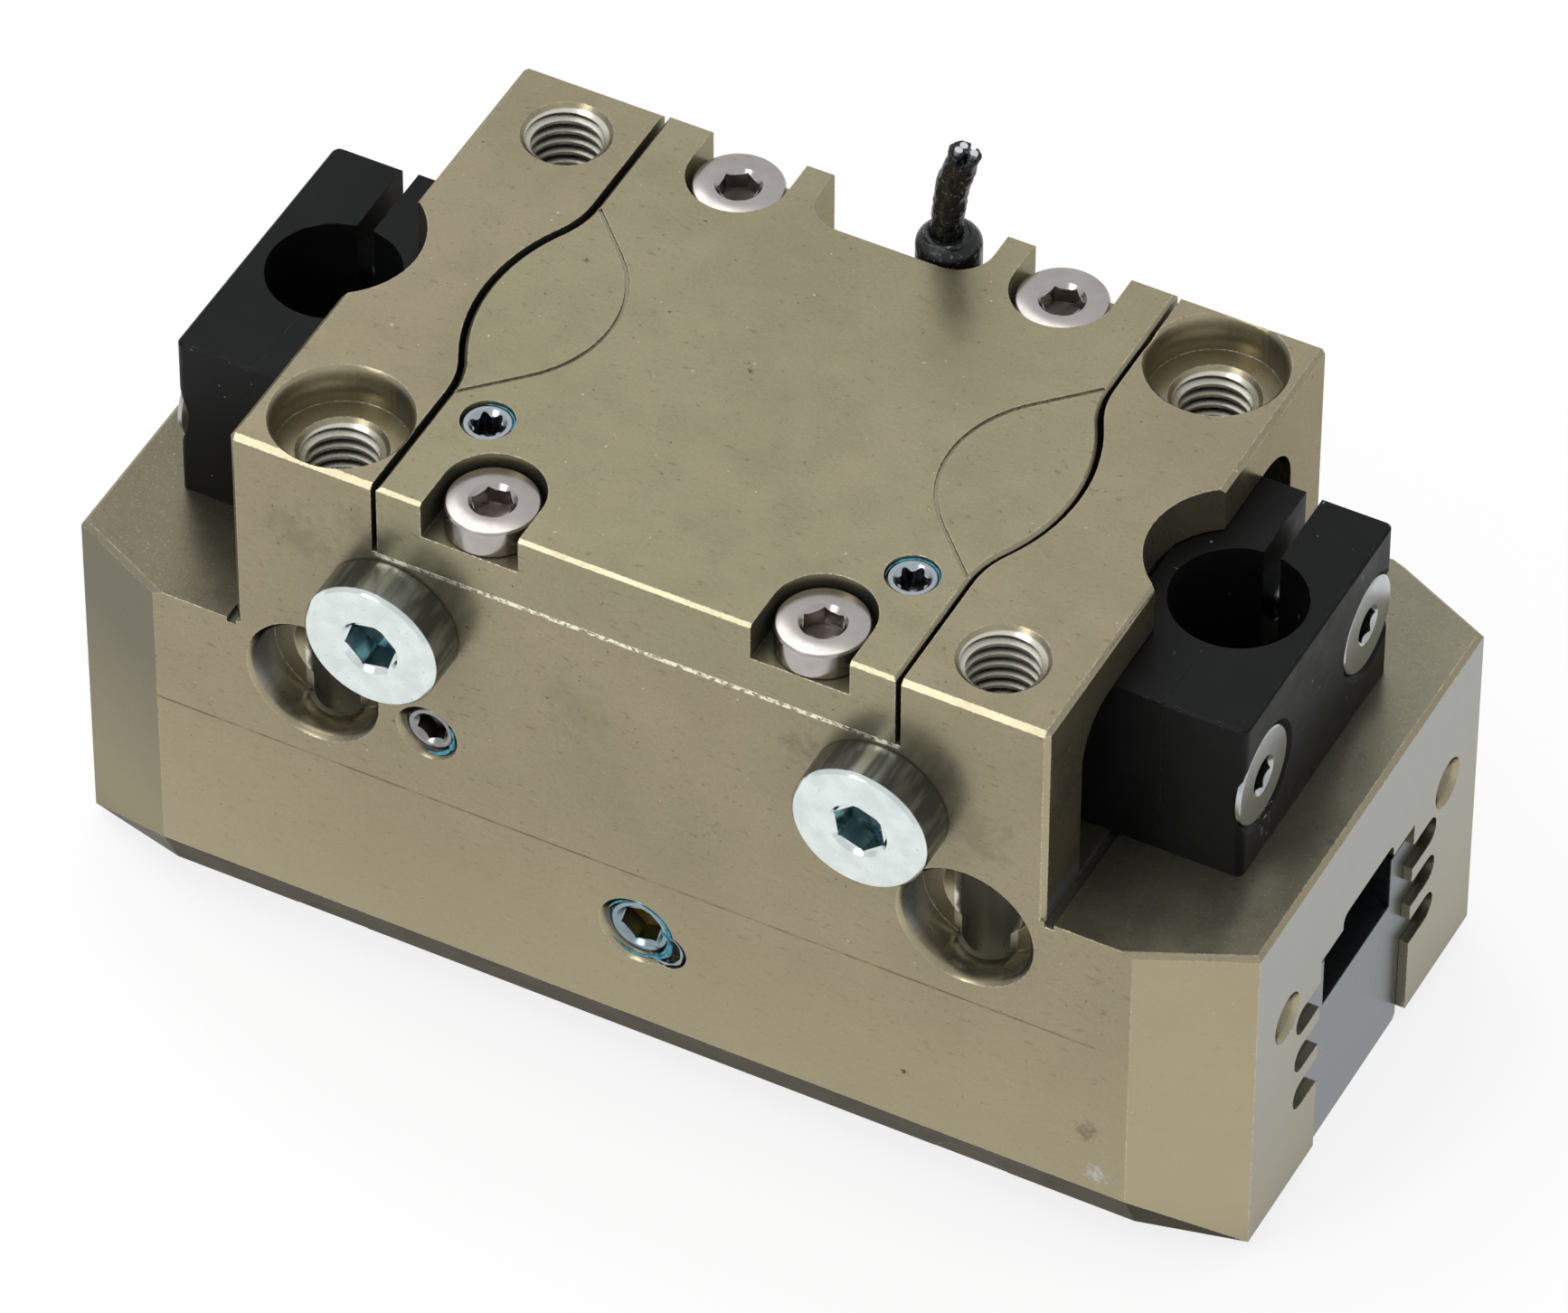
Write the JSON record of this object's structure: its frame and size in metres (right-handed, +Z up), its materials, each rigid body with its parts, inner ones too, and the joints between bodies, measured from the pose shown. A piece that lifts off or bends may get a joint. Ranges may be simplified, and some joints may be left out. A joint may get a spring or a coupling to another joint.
{
  "type": "pneumatic parallel gripper",
  "caption": "Parallel gripper with toothed sliding base jaws driven by an oval piston and a wedge hook, with sensor clamps, air ports and a threaded mounting face.",
  "frame": {"origin": "centre of the bounding box at the ground, under the standing jaws", "axes": "+X along the jaw stroke to the right seen from the front, +Y from the air port face to the rear face, +Z up to the mounting face"},
  "size_m": [0.075, 0.0378, 0.0461],
  "materials": {
    "hard_anodised_body": "hard anodised, satin olive grey",
    "steel_jaw": "ground steel",
    "black_bracket": "matte black",
    "stainless_screw": "bright stainless",
    "zinc_plug": "zinc plated",
    "bright_set_screw": "bright steel with a blue thread sealant",
    "dark_set_screw": "dark steel with a blue thread sealant",
    "seal_rubber": "smooth",
    "piston_aluminium": "turned",
    "wedge_steel": "ground steel",
    "magnet": "nickel plated",
    "switch_plastic": "moulded dark grey",
    "cable_sheath": "soft black sheath",
    "core_copper": "bare tinned copper"
  },
  "bodies": {
    "housing": {"housing": "hard_anodised_body", "piston_cover": "hard_anodised_body", "cover_seal": "seal_rubber", "cover_screws": "stainless_screw", "cover_set_screws": "bright_set_screw", "air_plug_left": "zinc_plug", "air_plug_right": "zinc_plug", "front_set_screw": "dark_set_screw", "centre_plug": "dark_set_screw", "rod_seal": "seal_rubber", "bracket_outer_right": "black_bracket", "bracket_inner_right": "black_bracket", "bracket_outer_left": "black_bracket", "bracket_inner_left": "black_bracket", "bracket_screws_right": "stainless_screw", "bracket_screws_left": "stainless_screw", "magnetic_switch": "switch_plastic", "switch_cable": "cable_sheath", "switch_cores": "core_copper"},
    "jaw_left": {"base_jaw_left": "steel_jaw"},
    "jaw_right": {"base_jaw_right": "steel_jaw"},
    "piston": {"piston": "piston_aluminium", "piston_seal": "seal_rubber", "piston_magnet": "magnet", "piston_screw": "wedge_steel", "wedge_hook": "wedge_steel"}
  },
  "joints": [
    {"name": "jaw_left_slide", "type": "slide", "parent": "housing", "child": "jaw_left", "axis": [1, 0, 0], "range_m": [0, 0.004]},
    {"name": "jaw_right_slide", "type": "slide", "parent": "housing", "child": "jaw_right", "axis": [-1, 0, 0], "range_m": [0, 0.004]},
    {"name": "piston_slide", "type": "slide", "parent": "housing", "child": "piston", "axis": [0, 0, 1], "range_m": [0, 0.005]}
  ],
  "couplings": [
    {"joint": "jaw_right_slide", "follows": "jaw_left_slide", "ratio": 1},
    {"joint": "piston_slide", "follows": "jaw_left_slide", "ratio": 1.25}
  ]
}
